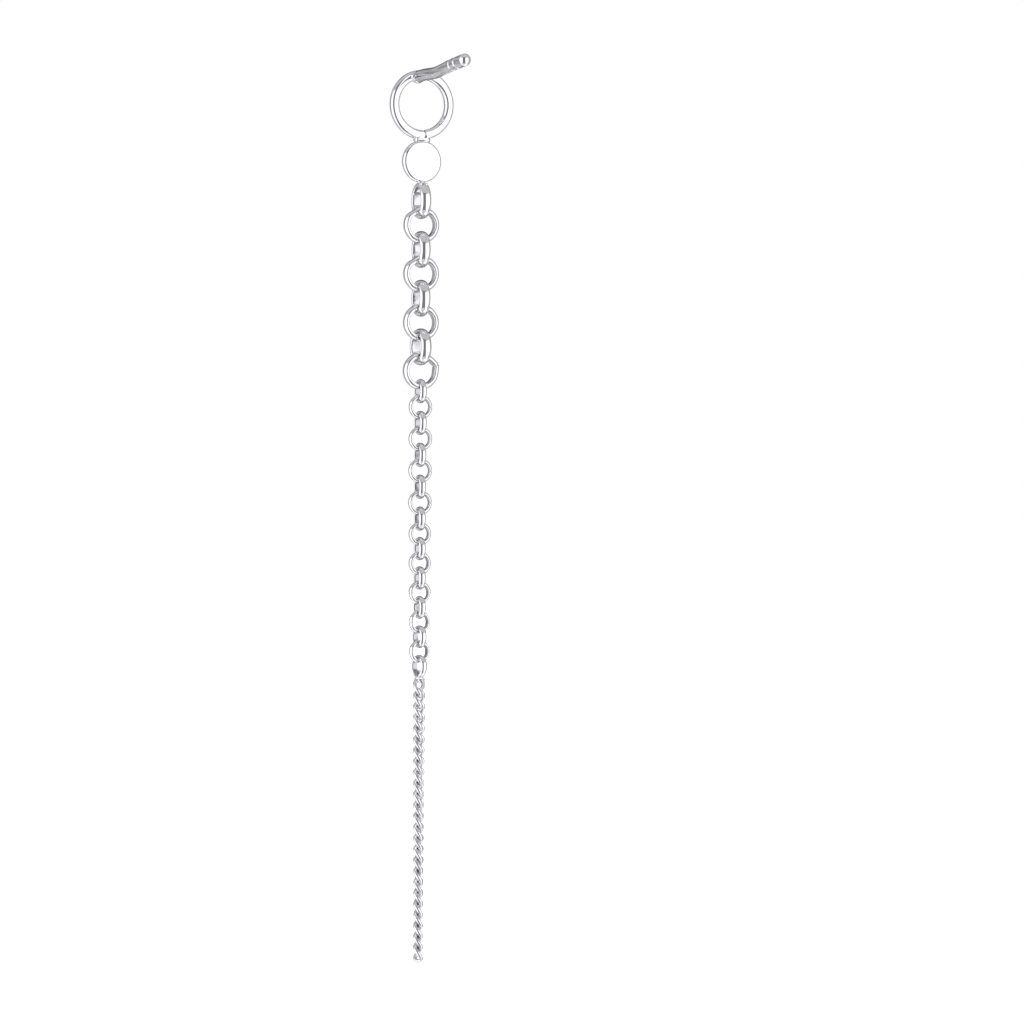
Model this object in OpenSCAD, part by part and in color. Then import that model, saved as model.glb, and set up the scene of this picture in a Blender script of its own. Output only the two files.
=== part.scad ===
// Ear chain: a post on a flat ring, a small plain disc below it, and a chain in three sizes
// that hangs free. The post points along -Y, the chain hangs along -Z, and the origin is on
// the post's axis in the plane of the ring's back face, where the ear lobe sits.

/* [Post] */
// Diameter of the plain shaft that goes through the lobe
post_d = 0.94; // [0.8:0.01:1.0]
// Length of the post from the ring's back face to its tip
post_length = 8.7; // [7:0.1:12]
// Angle by which the post rises towards its tip
post_rise = 6.5; // [0:0.5:10]
// Diameter of the end that the ear nut snaps over
post_end_d = 0.97; // [0.95:0.01:1.1]
// Distance from the tip to the middle of the groove nearer the lobe
inner_groove_from_tip = 2.44; // [2:0.02:3]
// Distance from the tip to the middle of the groove nearer the tip
outer_groove_from_tip = 1.56; // [1.3:0.02:1.8]
// Depth of each groove
groove_depth = 0.08; // [0.04:0.01:0.12]
// Length of the rounded tip
tip_round = 0.34; // [0.2:0.02:0.44]

/* [Ring] */
// Outer diameter of the ring
ring_outer_d = 5.42; // [4.8:0.02:7]
// Width of the ring's bar, measured inwards from the outside
ring_face_w = 0.73; // [0.6:0.01:0.9]
// Depth of the ring from its back face to its front face
ring_depth = 0.7; // [0.6:0.02:1]
// Angle round the ring from its top to the middle of the post
post_place = 10.5; // [0:0.5:20]
// Radius of the ring's long edges
ring_edge_r = 0.24; // [0.1:0.01:0.28]

/* [Disc] */
// Diameter of the disc
disc_d = 3.28; // [2.5:0.02:4.5]
// Thickness of the disc
disc_t = 0.64; // [0.4:0.02:0.8]
// Softness of the disc's edges
disc_edge_r = 0.08; // [0.03:0.01:0.12]
// Gap between the ring and the disc that the solder fills
disc_gap = 0.1; // [0.06:0.02:0.3]
// Width of the solder neck between the ring and the disc
neck_w = 1.36; // [0.8:0.02:1.8]

/* [Large links] */
// Inner diameter of a large link
large_inner_d = 2.07; // [1.9:0.01:2.3]
// Width of the half-round wire of a large link
large_wire_w = 0.84; // [0.6:0.02:0.9]
// Thickness of the half-round wire of a large link
large_wire_t = 0.41; // [0.3:0.01:0.45]
// Number of large links, with the one that is soldered to the disc
large_count = 8; // [2:1:12]
// Distance from the middle of the last large link to the corner where its ends meet
open_corner_r = 1.61; // [1.6:0.01:1.7]
// Height of that corner round the link, as an angle from the level of its middle
open_corner_angle = 21; // [10:1:35]
// Hairline gap between the two ends of the last large link
open_gap = 0.03; // [0.02:0.01:0.08]

/* [Small links] */
// Inner diameter of the small links in the upper stretch
small_inner_d = 1.36; // [1.3:0.01:1.5]
// Inner diameter of the small links in the lower stretch
small_low_inner_d = 1.28; // [1.24:0.01:1.4]
// Width of the half-round wire of a small link
small_wire_w = 0.54; // [0.4:0.02:0.6]
// Thickness of the half-round wire of a small link
small_wire_t = 0.27; // [0.2:0.01:0.3]
// Number of small links in the upper stretch
small_upper_count = 9; // [1:1:20]
// Number of small links in all
small_count = 19; // [2:1:30]

/* [Curb chain] */
// Diameter of the round wire
curb_wire_d = 0.2; // [0.14:0.01:0.2]
// Width of a link across its flat
curb_w = 0.86; // [0.86:0.01:0.96]
// Distance from each link to the next
curb_pitch = 0.856; // [0.85:0.001:0.9]
// Number of links, with the wider one that hangs in the last small link
curb_count = 26; // [2:1:60]
// Width of that wider first link
joining_w = 1.14; // [1.1:0.01:1.2]
// Length of that wider first link
joining_l = 1.6; // [1.5:0.01:1.8]
// Turn of each twisted link from the one above it, about the chain's axis
curb_turn = 2.375; // [0:0.125:5]

/* [Hidden] */
// Roundness of the shapes that stay true curves
$fn = 96;

// Where the post's axis meets the ring's bar, as a share of its width from the outside
post_seat = 0.7;
// How far the post's root reaches into the ring
post_root = 0.24;
// Radius of the round cutter that leaves each groove of the post
groove_r = 0.16;
// Height of the solder foot round the post, and its spread at the post's root
foot_h = 0.23;
foot_spread = 0.12;
// How far surfaces that are joined reach past each other
overlap = 0.02;

// Height of the solder neck, radius of its hollow sides and how deep they bite into it
neck_h = 0.62;
neck_hollow_r = 0.34;
neck_bite = 0.12;
// How far the neck's faces lie behind the disc's
neck_inset = 0.04;
// Radius of the two drops of solder that hold the first link, and how far they lie apart
drop_r = 0.24;
drop_spread = 0.4;
// How far the first large link is let into the disc
link_sink = 0.03;

// Play left where one link hangs in another
play = 0.04;
// How much of each corner of the half-round wire is taken off, as a share of its width
corner_share = 0.095;
// Turn of each large link about the chain's axis, from the top: every second link also
// stands a quarter turn round
large_turns = [-7, -7, -9, -7, -9, -7, -3, -7];
// The same for the small links
small_turns = [-7, -8, -7, -9, -9, -10, -10, -10, -11, -6, -9, -4, -8, -3, -5, 3, 1, 6, 7];
// Steps of the joining link's sweep: over its dome, round its arc and along each straight end
dome_steps = 8;
arc_steps = 28;
arm_steps = 3;
// How far that sweep's section reaches towards its corners, on its flat and over its dome
flat_reach = 0.85;
dome_reach = 0.9;

// Twist of each curb link from its middle to each of its ends, and of the wider first one
curb_twist = 60;
joining_twist = 30;
// How far the middle of the wider first link is turned out of a right angle to the small link
joining_turn = 20;
// Angle at which the lower end of the wider first link crosses the twisted link below it
joining_cross = 115;
// Play between the ends of neighbouring curb links along the chain
curb_play = 0.2;
// Squareness of the curb links' ends: 2 is an ellipse
curb_power = 3;
// How much a curb link's height counts in the way that its wire's section faces
curb_facing = 0.6;
// How far the first curb link's top stands above the inside of the last small link
joining_rise = 0.36;
// Steps round a curb link, and sides of its wire
curb_steps = 16;
curb_sides = 6;

// Metal colours
silver = [0.86, 0.86, 0.87];
bright_silver = [0.93, 0.93, 0.94];

post_r = post_d / 2;
post_end_r = post_end_d / 2;
ring_r = ring_outer_d / 2;
post_circle_r = ring_r - ring_face_w * post_seat;
ring_x = post_circle_r * sin(post_place);
ring_z = -post_circle_r * cos(post_place);
disc_r = disc_d / 2;
disc_z = ring_z - ring_r - disc_gap - disc_r;
chain_y = disc_t / 2;
large_outer_r = large_inner_d / 2 + large_wire_t;
curb_half_l = (curb_pitch + curb_wire_d + curb_play) / 2;
joining_half_l = (joining_l - curb_wire_d) / 2;

// Inner radius, wire width and wire thickness of each large and each small link
function large_size(i) = [large_inner_d / 2, large_wire_w, large_wire_t];
function small_size(i) =
    [(i <= small_upper_count ? small_inner_d : small_low_inner_d) / 2, small_wire_w, small_wire_t];

// Turn of a link about the chain's axis: odd links show their side, even ones their face
function link_turn(turns, i) = turns[(i - 1) % len(turns)] + (i % 2 == 1 ? 90 : 0);
function large_turn(i) = link_turn(large_turns, i);
function small_turn(i) = link_turn(small_turns, i);

// Half the width of a wire's flat inside, out to where its corner is taken off
function flat_half(size) = size[1] * (0.5 - corner_share);

// Height of the curve of a link above its middle, where the edges of another wire rest on it
function rest_height(size, edge) = sqrt(pow(size[0], 2) - pow(edge, 2));

// How far below link a link b hangs, where their planes cross at the angle given: the
// edges of each wire's flat inside rest on the curve of the other's
function hang(a, b, angle) =
    let (c = abs(cos(angle)), s = abs(sin(angle)), ha = flat_half(a), hb = flat_half(b))
    rest_height(a, (hb + ha * c) / s) + rest_height(b, (ha + hb * c) / s) - play;

// Height of the middle of each large and each small link
function large_z(i) = i == 1
    ? disc_z - disc_r - large_outer_r + link_sink
    : large_z(i - 1) - hang(large_size(i - 1), large_size(i), large_turn(i) - large_turn(i - 1));
function small_z(i) = i == 1
    ? large_z(large_count)
        - hang(large_size(large_count), small_size(1), small_turn(1) - large_turn(large_count))
    : small_z(i - 1) - hang(small_size(i - 1), small_size(i), small_turn(i) - small_turn(i - 1));

// A rectangle from its lower left corner, with soft corners
module soft_rect(w, h, r) {
    translate([r, 0]) square([w - 2 * r, h]);
    translate([0, r]) square([w, h - 2 * r]);
    for (x = [r, w - r], y = [r, h - r]) translate([x, y]) circle(r);
}

// Section of half-round wire: flat towards the middle of the link, domed outwards, with its
// two corners taken off
module half_round(size) {
    r = size[0];
    w = size[1];
    t = size[2];
    corner = w * corner_share;
    dome = (w * w / 4 + t * t) / (2 * t);
    intersection() {
        translate([r + t - dome, 0]) circle(dome);
        polygon([
            [r, corner - w / 2], [r + corner, -w / 2], [r + 2 * t, -w / 2],
            [r + 2 * t, w / 2], [r + corner, w / 2], [r, w / 2 - corner]]);
    }
}

// A round link with its axis along Y
module round_link(size) {
    rotate([90, 0, 0]) rotate_extrude() half_round(size);
}

// Puts a link at its height on the chain's axis, turned about it
module on_chain(z, turn) {
    translate([ring_x, chain_y, z]) rotate([0, 0, turn]) children();
}

// The post from its root inside the ring to its tip, along +Z
module post_shape() {
    end_start = post_length - inner_groove_from_tip;
    cap_start = post_length - tip_round;
    tip_ball_r = (post_end_r * post_end_r + tip_round * tip_round) / (2 * tip_round);
    difference() {
        union() {
            translate([0, 0, -post_root]) cylinder(h = end_start + post_root, r = post_r);
            translate([0, 0, end_start]) cylinder(h = cap_start - end_start, r = post_end_r);
            intersection() {
                translate([0, 0, cap_start]) cylinder(h = tip_round, r = post_end_r);
                translate([0, 0, post_length - tip_ball_r]) sphere(tip_ball_r);
            }
        }
        for (d = [inner_groove_from_tip, outer_groove_from_tip])
            translate([0, 0, post_length - d]) rotate_extrude()
                translate([post_end_r - groove_depth + groove_r, 0]) circle(groove_r);
    }
}

// The post, its foot spread a little by the solder
module post() {
    rotate([90 - post_rise, 0, 0]) {
        post_shape();
        translate([0, 0, -post_root])
            cylinder(h = foot_h + post_root, r1 = post_r + foot_spread, r2 = post_r - overlap / 2);
    }
}

module flat_ring() {
    translate([ring_x, ring_depth, ring_z]) rotate([90, 0, 0]) rotate_extrude()
        translate([ring_r - ring_face_w, 0]) soft_rect(ring_face_w, ring_depth, ring_edge_r);
}

module disc() {
    translate([ring_x, disc_t, disc_z]) rotate([90, 0, 0]) {
        cylinder(h = disc_t, r = disc_r - disc_edge_r);
        translate([0, 0, disc_edge_r]) cylinder(h = disc_t - 2 * disc_edge_r, r = disc_r);
        for (z = [disc_edge_r, disc_t - disc_edge_r]) translate([0, 0, z])
            rotate_extrude() translate([disc_r - disc_edge_r, 0]) circle(disc_edge_r);
    }
}

// Solder between the ring and the disc, hollow at both sides
module solder_neck() {
    hollow_x = neck_w / 2 + neck_hollow_r - neck_bite;
    translate([ring_x, disc_t - neck_inset, ring_z - ring_r - disc_gap / 2]) rotate([90, 0, 0])
        linear_extrude(disc_t - 2 * neck_inset) difference() {
            square([neck_w, neck_h], center = true);
            for (x = [-hollow_x, hollow_x]) translate([x, 0]) circle(neck_hollow_r);
        }
}

// Solder between the disc and the first large link
module solder_drops() {
    for (side = [-0.5, 0.5])
        translate([ring_x + side * drop_spread, chain_y, disc_z - disc_r + overlap]) sphere(drop_r);
}

module soldered_top() {
    color(bright_silver) {
        post();
        flat_ring();
        disc();
        solder_neck();
        solder_drops();
        on_chain(large_z(1), large_turn(1)) round_link(large_size(1));
    }
}

// Points round the half-round section, as distance from the link's middle and height: two
// on the flat, and a row over the dome that stops short of the corners
function half_round_points(size) =
    let (
        flat = flat_half(size),
        w = size[1] * (1 - corner_share),
        dome = (w * w / 4 + size[2] * size[2]) / (2 * size[2]),
        middle = size[0] + size[2] - dome,
        reach = dome_reach * acos((size[0] - middle) / dome))
    concat(
        [[size[0], -flat * flat_reach], [size[0], flat * flat_reach]],
        [for (k = [0:dome_steps]) let (a = reach * (1 - 2 * k / dome_steps))
            [middle + dome * cos(a), dome * sin(a)]]);

// Triangles over a tube of rings, each ring a list of points in the same order. A closed
// tube joins its last ring to its first, and an open one has a flat cap at each end.
module tube(rings, closed) {
    count = len(rings);
    sides = len(rings[0]);
    last = (count - 1) * sides;
    spans = closed ? count : count - 1;
    walls = [for (k = [0:spans - 1], j = [0:sides - 1])
        let (
            next = (j + 1) % sides,
            here = k * sides,
            there = ((k + 1) % count) * sides)
        each [[here + j, here + next, there + next], [here + j, there + next, there + j]]];
    caps = closed ? [] : concat(
        [for (j = [1:sides - 2]) [0, j + 1, j]],
        [for (j = [1:sides - 2]) [last, last + j, last + j + 1]]);
    polyhedron([for (ring = rings) each ring], concat(walls, caps));
}

// The last large link, which opens: its two ends run straight to a corner, where a hairline
// gap is left between them
module open_link(size) {
    outer_r = size[0] + size[2];
    span = acos(outer_r / open_corner_r);
    gap = open_gap / 2 / outer_r * 180 / PI;
    arm = [for (k = [0:arm_steps - 1]) gap + (span - gap) * k / arm_steps];
    arc = [for (k = [0:arc_steps]) span + (360 - 2 * span) * k / arc_steps];
    stations = concat(arm, arc, [for (k = [arm_steps - 1:-1:0]) 360 - arm[k]]);
    tube([for (a = stations)
        let (off = min(a, 360 - a), stretch = off < span ? 1 / cos(span - off) : 1)
        [for (p = half_round_points(size))
            [p[0] * stretch * cos(a + open_corner_angle), p[1],
                p[0] * stretch * sin(a + open_corner_angle)]]],
        closed = false);
}

module large_link(i) {
    color(silver) on_chain(large_z(i), large_turn(i))
        if (i == large_count) open_link(large_size(i));
        else round_link(large_size(i));
}

module small_link(i) {
    color(silver) on_chain(small_z(i), small_turn(i)) round_link(small_size(i));
}

// A point of a twisted link's centre line: half its width and length, its twist and the
// share of the way round
function curb_point(half_w, half_l, twist, share) =
    let (
        c = cos(360 * share),
        s = sin(360 * share),
        x = half_w * sign(c) * pow(abs(c), 2 / curb_power))
    [x * cos(twist * s), -x * sin(twist * s), half_l * s];

// Unit vector along v
function unit(v) = v / norm(v);

// One twisted link of round wire, as a tube of few sides round its centre line
module curb_link(width, half_l, twist) {
    half_w = (width - curb_wire_d) / 2;
    line = [for (k = [0:curb_steps - 1]) curb_point(half_w, half_l, twist, (k + 0.5) / curb_steps)];
    tube([for (k = [0:curb_steps - 1])
        let (
            before = line[(k + curb_steps - 1) % curb_steps],
            after = line[(k + 1) % curb_steps],
            along = unit(after - before),
            outwards = [line[k][0], line[k][1], line[k][2] * curb_facing],
            out = unit(cross(along, cross(outwards, along))),
            side = cross(along, out))
        [for (j = [0:curb_sides - 1]) let (a = 360 * j / curb_sides)
            line[k] + curb_wire_d / 2 * (cos(a) * out + sin(a) * side)]],
        closed = true);
}

module curb_chain() {
    joining_z = small_z(small_count) - small_size(small_count)[0] + joining_rise - joining_l / 2;
    first_z = joining_z - joining_half_l - curb_half_l + curb_wire_d + curb_play;
    turn = small_turn(small_count) - 90 + joining_turn;
    first_turn = turn + joining_twist + curb_twist - joining_cross;
    color(silver) {
        on_chain(joining_z, turn) curb_link(joining_w, joining_half_l, joining_twist);
        for (i = [0:curb_count - 2])
            on_chain(first_z - i * curb_pitch, first_turn + i * curb_turn)
                curb_link(curb_w, curb_half_l, curb_twist);
    }
}

soldered_top();
for (i = [2:large_count]) large_link(i);
for (i = [1:small_count]) small_link(i);
curb_chain();
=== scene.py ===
"""The looks of an ear chain in polished sterling silver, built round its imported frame.

The soldered top (ear post, flat ring, plain disc and their solder) is made in mesh code. The belcher
links grow from one Geometry Nodes tree and the fine curb chain from another. All sizes are in
millimetres in the same frame as the solids. They turn into metres once, where a mesh is made or a
tree gets its inputs.
"""

import logging
import math
from dataclasses import dataclass
from enum import Enum
from typing import Any, Sequence

import bmesh
import bpy
from mathutils import Euler, Matrix, Vector, noise


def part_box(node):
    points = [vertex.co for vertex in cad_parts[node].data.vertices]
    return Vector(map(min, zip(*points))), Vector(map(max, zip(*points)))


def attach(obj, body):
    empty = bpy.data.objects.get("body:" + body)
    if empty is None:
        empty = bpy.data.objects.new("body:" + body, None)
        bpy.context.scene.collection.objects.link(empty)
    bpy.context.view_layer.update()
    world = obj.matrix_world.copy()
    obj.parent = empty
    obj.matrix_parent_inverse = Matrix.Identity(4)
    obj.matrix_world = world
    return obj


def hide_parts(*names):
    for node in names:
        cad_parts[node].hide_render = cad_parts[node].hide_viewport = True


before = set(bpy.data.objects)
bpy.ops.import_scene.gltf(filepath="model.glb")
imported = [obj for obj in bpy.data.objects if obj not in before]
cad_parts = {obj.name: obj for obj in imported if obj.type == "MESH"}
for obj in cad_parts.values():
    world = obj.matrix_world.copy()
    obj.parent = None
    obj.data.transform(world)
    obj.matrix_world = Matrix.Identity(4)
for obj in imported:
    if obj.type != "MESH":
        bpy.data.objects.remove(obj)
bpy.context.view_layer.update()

MM = 0.001
BODY = "root"
log = logging.getLogger("ear_chain")


class Standing(Enum):
    """How a link of the chain stands before its own small turn, in degrees about the chain's axis."""

    FACE_ON = 0
    EDGE_ON = 90


def linear(hex_colour: str) -> tuple[float, float, float, float]:
    """Turns an sRGB hex colour into the linear colour that shaders take.

    Args:
        hex_colour: the colour as "#RRGGBB".

    Returns:
        Red, green, blue and an alpha of 1.
    """
    levels = [int(hex_colour[i:i + 2], 16) / 255 for i in (1, 3, 5)]
    return (*(v / 12.92 if v <= 0.04045 else ((v + 0.055) / 1.055) ** 2.4 for v in levels), 1.0)


def add_node(tree: bpy.types.NodeTree, kind: str, inputs: dict[Any, Any] | None = None,
             **settings: Any) -> bpy.types.Node:
    """Adds a node to a tree, with its settings and what goes into it.

    Args:
        tree: the shader or geometry tree.
        kind: Blender's name of the node's type.
        inputs: for each input, by name or number, an output socket to link or a plain value.
        settings: the node's own properties.

    Returns:
        The new node.
    """
    node = tree.nodes.new(kind)
    for key, value in settings.items():
        setattr(node, key, value)
    for key, value in (inputs or {}).items():
        if isinstance(value, bpy.types.NodeSocket):
            tree.links.new(value, node.inputs[key])
        else:
            node.inputs[key].default_value = value
    return node


def work_out(tree: bpy.types.NodeTree, known: dict[str, Any],
             steps: Sequence[tuple]) -> dict[str, Any]:
    """Turns a table of sums into math nodes.

    Args:
        tree: the tree that gets the nodes.
        known: sockets and numbers by name.
        steps: rows of result name, operation, and one to three terms, each a name or a number.

    Returns:
        The known values with the results added under their names.
    """
    values = dict(known)
    for result, operation, *terms in steps:
        sockets = {i: values[t] if isinstance(t, str) else t for i, t in enumerate(terms)}
        values[result] = add_node(tree, "ShaderNodeMath", sockets, operation=operation).outputs[0]
    return values


def new_shader(name: str) -> tuple[bpy.types.Material, bpy.types.NodeTree, bpy.types.Node]:
    """Makes a material with a plain metal shader.

    Args:
        name: the material's name.

    Returns:
        The material, its tree and the shader node.
    """
    material = bpy.data.materials.new(name)
    material.use_nodes = True
    tree = material.node_tree
    tree.nodes.clear()
    shader = add_node(tree, "ShaderNodeBsdfPrincipled", {"Metallic": 1.0})
    add_node(tree, "ShaderNodeOutputMaterial", {"Surface": shader.outputs[0]})
    return material, tree, shader


@dataclass(frozen=True)
class SilverFinish:
    """A finish of the silver: one pattern that shows in its tone, its gloss and its relief.

    Lengths are in millimetres. grain is the pattern's size along the three axes, and lean turns it up
    with the ear post. Each span is the part of the noise over which the finish goes from dull to bright.
    """

    name: str = "Silver"
    colour: str = "#F8F8FA"
    dull_colour: str = "#F3F3F5"
    roughness: float = 0.05
    dull_roughness: float = 0.09
    grain: tuple[float, float, float] = (1.0, 1.0, 1.0)
    lean: float = 0.0
    height: float = 0.0
    tone_span: tuple[float, float] = (0.36, 0.58)
    gloss_span: tuple[float, float] = (0.35, 0.65)
    detail: float = 2.0
    fineness: float = 0.5

    def material(self) -> bpy.types.Material:
        """Makes the material. A finish without relief has one roughness all over."""
        material, tree, shader = new_shader(self.name)
        place = add_node(tree, "ShaderNodeMapping", {
            "Vector": add_node(tree, "ShaderNodeTexCoord").outputs["Object"],
            "Rotation": (math.radians(self.lean), 0.0, 0.0),
            "Scale": tuple(1 / (size * MM) for size in self.grain)}, vector_type="POINT")
        pattern = add_node(tree, "ShaderNodeTexNoise", {
            "Vector": place.outputs["Vector"], "Scale": 1.0, "Detail": self.detail,
            "Roughness": self.fineness}).outputs["Fac"]
        tone = add_node(tree, "ShaderNodeValToRGB", {"Fac": pattern})
        colours = (self.dull_colour, self.colour)
        for stop, position, colour in zip(tone.color_ramp.elements, self.tone_span, colours):
            stop.position = position
            stop.color = linear(colour)
        tree.links.new(tone.outputs["Color"], shader.inputs["Base Color"])
        if not self.height:
            shader.inputs["Roughness"].default_value = self.roughness
            return material
        low, high = self.gloss_span
        gloss = add_node(tree, "ShaderNodeMapRange", {
            "Value": pattern, "From Min": low, "From Max": high,
            "To Min": self.dull_roughness, "To Max": self.roughness})
        relief = add_node(tree, "ShaderNodeBump", {
            "Height": pattern, "Strength": 1.0, "Distance": self.height * MM})
        tree.links.new(gloss.outputs["Result"], shader.inputs["Roughness"])
        tree.links.new(relief.outputs["Normal"], shader.inputs["Normal"])
        return material


@dataclass(frozen=True)
class BuffedSilver(SilverFinish):
    """Sterling silver, tumbled and buffed: mirror bright, with the long shallow waves of the buff."""

    name: str = "Sterling silver, buffed"
    grain: tuple[float, float, float] = (0.9, 0.9, 0.9)
    height: float = 0.0008
    tone_span: tuple[float, float] = (0.42, 0.62)
    fineness: float = 0.45


@dataclass(frozen=True)
class DrawnSilver(SilverFinish):
    """Silver wire as it comes from the draw plate: fine lines run along it and smear what it reflects.

    The real lines are a few hundredths of a millimetre apart; they are drawn 0.14 mm apart so that
    they show.
    """

    name: str = "Sterling silver wire, drawn"
    dull_colour: str = "#C2C2CA"
    roughness: float = 0.12
    dull_roughness: float = 0.24
    grain: tuple[float, float, float] = (0.14, 1.9, 0.14)
    lean: float = 6.5
    height: float = 0.004
    tone_span: tuple[float, float] = (0.34, 0.56)
    detail: float = 3.0
    fineness: float = 0.55


@dataclass(frozen=True)
class SolderSilver(SilverFinish):
    """Hard silver solder as it froze: bright, with soft uneven swells and duller hollows."""

    name: str = "Silver solder, flowed"
    colour: str = "#F6F6F8"
    dull_colour: str = "#DEDEE2"
    roughness: float = 0.1
    dull_roughness: float = 0.2
    grain: tuple[float, float, float] = (0.3, 0.3, 0.3)
    height: float = 0.006


@dataclass(frozen=True)
class TumbledSilver(SilverFinish):
    """Silver that only tumbling reached, as in a fine chain: bright, with soft spots of a greyer tone.

    The real spots follow the bends; here they are a little longer than the wire is thick.
    """

    name: str = "Sterling silver chain, barrel tumbled"
    colour: str = "#F6F6F8"
    dull_colour: str = "#E2E2E4"
    roughness: float = 0.06
    dull_roughness: float = 0.16
    grain: tuple[float, float, float] = (0.6, 0.6, 0.6)
    height: float = 0.0015
    tone_span: tuple[float, float] = (0.36, 0.55)
    gloss_span: tuple[float, float] = (0.36, 0.55)
    detail: float = 1.0
    fineness: float = 0.4


@dataclass(frozen=True)
class LargeInsideShadeSilver(TumbledSilver):
    """Painted shade on the flat inside of the large links: the tumbled finish, coloured a shade greyer
    than their outside to stand in for the shade between the links.
    """

    name: str = "Sterling silver, painted shade inside the large links"
    # painted shade: greyer than the outside, where the links shade each other
    colour: str = "#E0E0E2"
    dull_colour: str = "#C4C4C6"


@dataclass(frozen=True)
class SmallInsideShadeSilver(TumbledSilver):
    """Painted shade on the flat inside of the small links: greyer still, for the deeper shade inside
    these smaller links.
    """

    name: str = "Sterling silver, painted shade inside the small links"
    # painted shade: darker still, for the deeper shade inside the small links
    colour: str = "#C6C6C8"
    dull_colour: str = "#9A9A9C"


@dataclass(frozen=True)
class SeamOxideAndShade(SilverFinish):
    """The hairline where two ends of silver meet: dull grey oxidised silver, with lighter grains of
    solder. The same grey serves as the painted shade in the crevices round the solder.
    """

    name: str = "Oxide in a soldered seam and painted shade in crevices"
    colour: str = "#94949A"
    dull_colour: str = "#5A5A60"
    roughness: float = 0.45
    grain: tuple[float, float, float] = (0.05, 0.05, 0.05)
    tone_span: tuple[float, float] = (0.4, 0.62)
    detail: float = 1.0


def face_outwards(mesh: bpy.types.Mesh) -> None:
    """Turns every face of a closed mesh outwards and shades it smooth.

    Args:
        mesh: the mesh, which is changed.
    """
    work = bmesh.new()
    work.from_mesh(mesh)
    bmesh.ops.recalc_face_normals(work, faces=work.faces)
    for face in work.faces:
        face.smooth = True
    work.to_mesh(mesh)
    work.free()


def new_object(name: str, mesh: bpy.types.Mesh) -> bpy.types.Object:
    """Puts a mesh in the scene as an object at the origin."""
    piece = bpy.data.objects.new(name, mesh)
    bpy.context.scene.collection.objects.link(piece)
    return piece


def new_piece(name: str, points: Sequence[Sequence[float]],
              faces: Sequence[Sequence[int]]) -> bpy.types.Object:
    """Makes a smooth closed piece from points in millimetres.

    Args:
        name: the piece's name.
        points: its points, in the frame's axes.
        faces: its faces, as rows of point numbers.

    Returns:
        The new object.
    """
    mesh = bpy.data.meshes.new(name)
    mesh.from_pydata([Vector(p) * MM for p in points], [], faces)
    face_outwards(mesh)
    return new_object(name, mesh)


def tube_faces(rings: int, sides: int, closed: bool) -> list[tuple[int, ...]]:
    """Gives the faces between the rings of a tube.

    Args:
        rings: how many rings of points it has.
        sides: how many points each ring has.
        closed: whether the last ring joins the first; an open tube gets a face over each end.

    Returns:
        Rows of point numbers, where point j of ring i has number i * sides + j.
    """
    faces: list[tuple[int, ...]] = []
    for i in range(rings if closed else rings - 1):
        below, above = i * sides, (i + 1) % rings * sides
        for j in range(sides):
            k = (j + 1) % sides
            faces.append((below + j, below + k, above + k, above + j))
    if not closed:
        faces.append(tuple(range(sides)))
        faces.append(tuple((rings - 1) * sides + j for j in reversed(range(sides))))
    return faces


def arc(centre: tuple[float, float], radius: float, start: float, end: float,
        steps: int) -> list[tuple[float, float]]:
    """Gives points along an arc in a section.

    Args:
        centre: the arc's centre.
        radius: its radius.
        start: the angle of its first point, in degrees.
        end: the angle of its last point.
        steps: how many steps it is divided into.

    Returns:
        The points, first and last included.
    """
    angles = [math.radians(start + (end - start) * k / steps) for k in range(steps + 1)]
    return [(centre[0] + radius * math.cos(a), centre[1] + radius * math.sin(a)) for a in angles]


def cushion(width: float, height: float, power: float, steps: int) -> list[tuple[float, float]]:
    """Gives a cushion-shaped section, centred on the origin: a square that was buffed round.

    Args:
        width: its size along the first axis.
        height: its size along the second.
        power: 2 is an ellipse, and larger is squarer.
        steps: the steps all round.

    Returns:
        Its points, anticlockwise.
    """
    points = []
    for k in range(steps):
        a = 2 * math.pi * (k + 0.5) / steps
        x, y = math.cos(a), math.sin(a)
        points.append((math.copysign(abs(x) ** (2 / power), x) * width / 2,
                       math.copysign(abs(y) ** (2 / power), y) * height / 2))
    return points


@dataclass
class Layout:
    """Where the soldered top's pieces lie in the frame: the same sums as the solids use."""

    ring_r: float = 2.71
    ring_face: float = 0.73
    post_seat: float = 0.7
    post_place: float = 10.5
    disc_r: float = 1.64
    disc_gap: float = 0.1
    disc_thickness: float = 0.64

    @property
    def post_circle(self) -> float:
        """Radius of the circle round the ring's middle on which the post stands."""
        return self.ring_r - self.ring_face * self.post_seat

    @property
    def chain_x(self) -> float:
        """Distance of the chain's axis from the post's."""
        return self.post_circle * math.sin(math.radians(self.post_place))

    @property
    def chain_y(self) -> float:
        """Depth of the chain's axis in front of the lobe."""
        return self.disc_thickness / 2

    @property
    def ring_z(self) -> float:
        """Height of the ring's middle."""
        return -self.post_circle * math.cos(math.radians(self.post_place))

    @property
    def disc_z(self) -> float:
        """Height of the disc's middle."""
        return self.ring_z - self.ring_r - self.disc_gap - self.disc_r


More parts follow.
